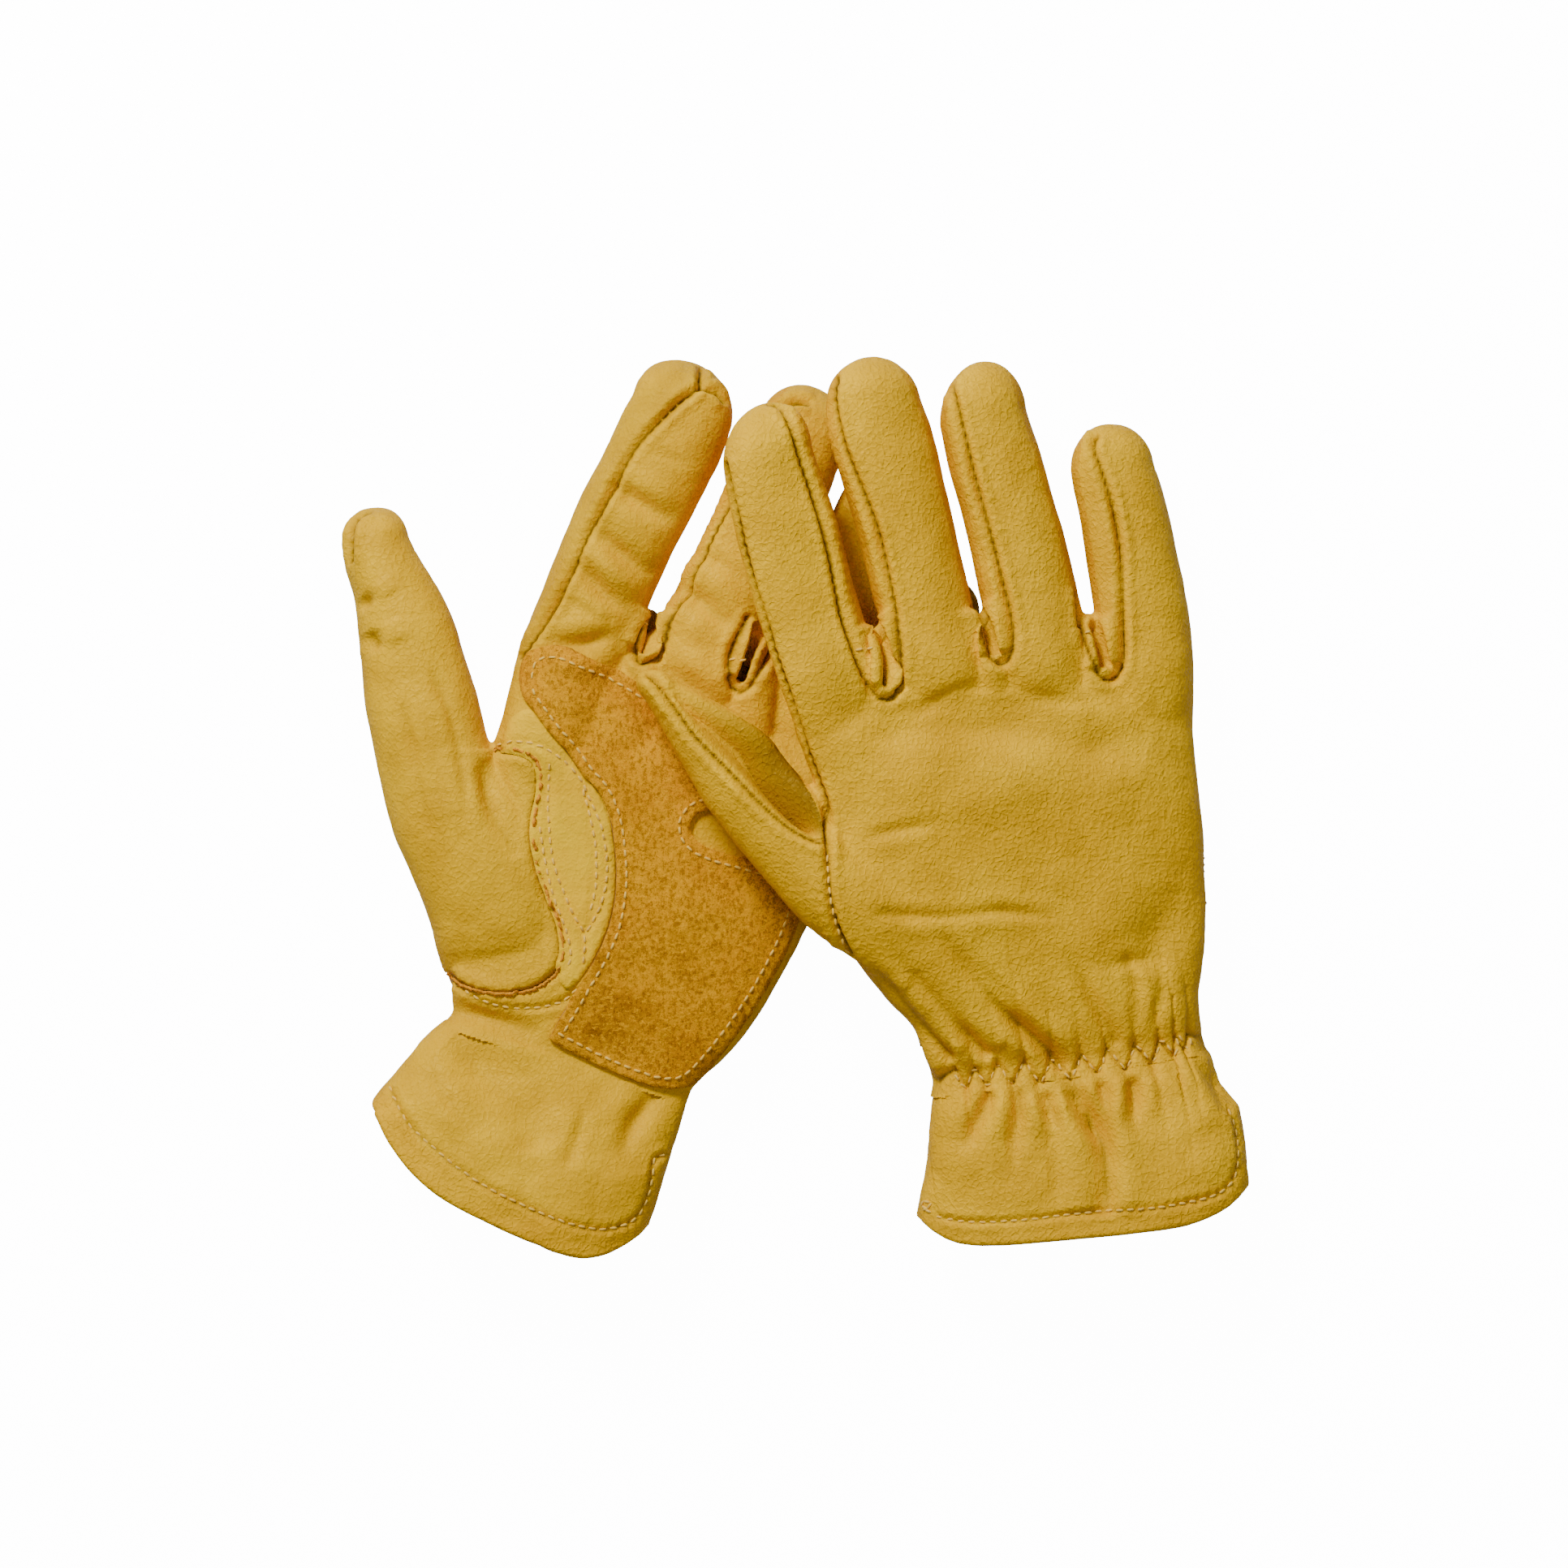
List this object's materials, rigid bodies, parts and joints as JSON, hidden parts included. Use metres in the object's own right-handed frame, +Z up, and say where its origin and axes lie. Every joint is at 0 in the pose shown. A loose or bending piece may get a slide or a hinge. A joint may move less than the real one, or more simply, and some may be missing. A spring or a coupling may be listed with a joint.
{
  "type": "pair of beekeeping gloves",
  "caption": "Pair of yellow grain-leather gloves with separate finger side walls, suede palm patch, shirred wrist and short flared cuff, laid one over the other.",
  "frame": {"origin": "middle of the pair's footprint, on the surface that it lies on", "axes": "+Y from the cuffs to the fingertips, +X from the left glove to the right glove, +Z up from the surface"},
  "size_m": [0.2612, 0.2555, 0.0533],
  "materials": {
    "back_leather": "pebbled grain leather, lightly polished",
    "palm_leather": "smoother grain leather",
    "leaf_leather": "thin grain leather",
    "hem_leather": "grain leather turned in, pale flesh side",
    "suede": "napped suede split",
    "elastic": "woven elastic tape"
  },
  "bodies": {
    "left_hand": {"left_back_panel": "back_leather", "left_crotch_leaf": "leaf_leather", "left_little_back": "back_leather", "left_little_fourchette_inner": "back_leather", "left_little_front": "palm_leather", "left_middle_back": "back_leather", "left_middle_fourchette_inner": "back_leather", "left_middle_fourchette_outer": "back_leather", "left_middle_front": "palm_leather", "left_palm_panel": "palm_leather", "left_palm_patch": "suede", "left_ring_back": "back_leather", "left_ring_fourchette_inner": "back_leather", "left_ring_fourchette_outer": "back_leather", "left_ring_front": "palm_leather", "left_wrist_elastic": "elastic"},
    "left_cuff": {"left_cuff_back": "back_leather", "left_cuff_front": "palm_leather", "left_cuff_hem": "hem_leather"},
    "left_index": {"left_index_back": "back_leather", "left_index_fourchette_outer": "back_leather", "left_index_front": "palm_leather"},
    "left_thumb": {"left_thumb_back": "back_leather", "left_thumb_front": "palm_leather"},
    "right_hand": {"right_back_panel": "back_leather", "right_crotch_leaf": "leaf_leather", "right_palm_panel": "palm_leather", "right_palm_patch": "suede", "right_wrist_elastic": "elastic"},
    "right_cuff": {"right_cuff_back": "back_leather", "right_cuff_front": "palm_leather", "right_cuff_hem": "hem_leather"},
    "right_index": {"right_index_back": "back_leather", "right_index_fourchette_outer": "back_leather", "right_index_front": "palm_leather"},
    "right_little": {"right_little_back": "back_leather", "right_little_fourchette_inner": "back_leather", "right_little_front": "palm_leather"},
    "right_middle": {"right_middle_back": "back_leather", "right_middle_fourchette_inner": "back_leather", "right_middle_fourchette_outer": "back_leather", "right_middle_front": "palm_leather"},
    "right_ring": {"right_ring_back": "back_leather", "right_ring_fourchette_inner": "back_leather", "right_ring_fourchette_outer": "back_leather", "right_ring_front": "palm_leather"},
    "right_thumb": {"right_thumb_back": "back_leather", "right_thumb_front": "palm_leather"}
  },
  "joints": [
    {"name": "lift_right_glove", "type": "slide", "parent": "left_hand", "child": "right_hand", "axis": [0, 0, 1], "range_m": [0, 0.15]},
    {"name": "left_index_bend", "type": "hinge", "parent": "left_hand", "child": "left_index", "pos_m": [-0.05897, 0.05733, 0.02625], "axis": [0.91, -0.4147, 0], "range_deg": [0, 70]},
    {"name": "left_thumb_bend", "type": "hinge", "parent": "left_hand", "child": "left_thumb", "pos_m": [-0.10525, 0.01904, 0.02735], "axis": [0.9703, 0.2419, 0], "range_deg": [0, 40]},
    {"name": "left_cuff_fold", "type": "hinge", "parent": "left_hand", "child": "left_cuff", "pos_m": [-0.06328, -0.06887, 0.0244], "axis": [-0.9365, 0.3464, 0.0548], "range_deg": [0, 25]},
    {"name": "right_index_bend", "type": "hinge", "parent": "right_hand", "child": "right_index", "pos_m": [0.00733, 0.05392, 0.05223], "axis": [0.9381, 0.2479, -0.2419], "range_deg": [0, 35]},
    {"name": "right_middle_bend", "type": "hinge", "parent": "right_hand", "child": "right_middle", "pos_m": [0.03978, 0.05602, 0.04444], "axis": [0.9439, 0.2249, -0.2419], "range_deg": [0, 35]},
    {"name": "right_ring_bend", "type": "hinge", "parent": "right_hand", "child": "right_ring", "pos_m": [0.07056, 0.05698, 0.03651], "axis": [0.9447, 0.2216, -0.2419], "range_deg": [0, 35]},
    {"name": "right_little_bend", "type": "hinge", "parent": "right_hand", "child": "right_little", "pos_m": [0.09969, 0.05795, 0.02851], "axis": [0.9583, 0.1518, -0.2419], "range_deg": [0, 35]},
    {"name": "right_thumb_bend", "type": "hinge", "parent": "right_hand", "child": "right_thumb", "pos_m": [-0.00984, 0.00085, 0.05213], "axis": [0.7301, 0.669, -0.1392], "range_deg": [0, 30]},
    {"name": "right_cuff_fold", "type": "hinge", "parent": "right_hand", "child": "right_cuff", "pos_m": [0.07983, -0.07102, 0.03499], "axis": [-0.9841, -0.1296, 0.1219], "range_deg": [0, 25]}
  ]
}
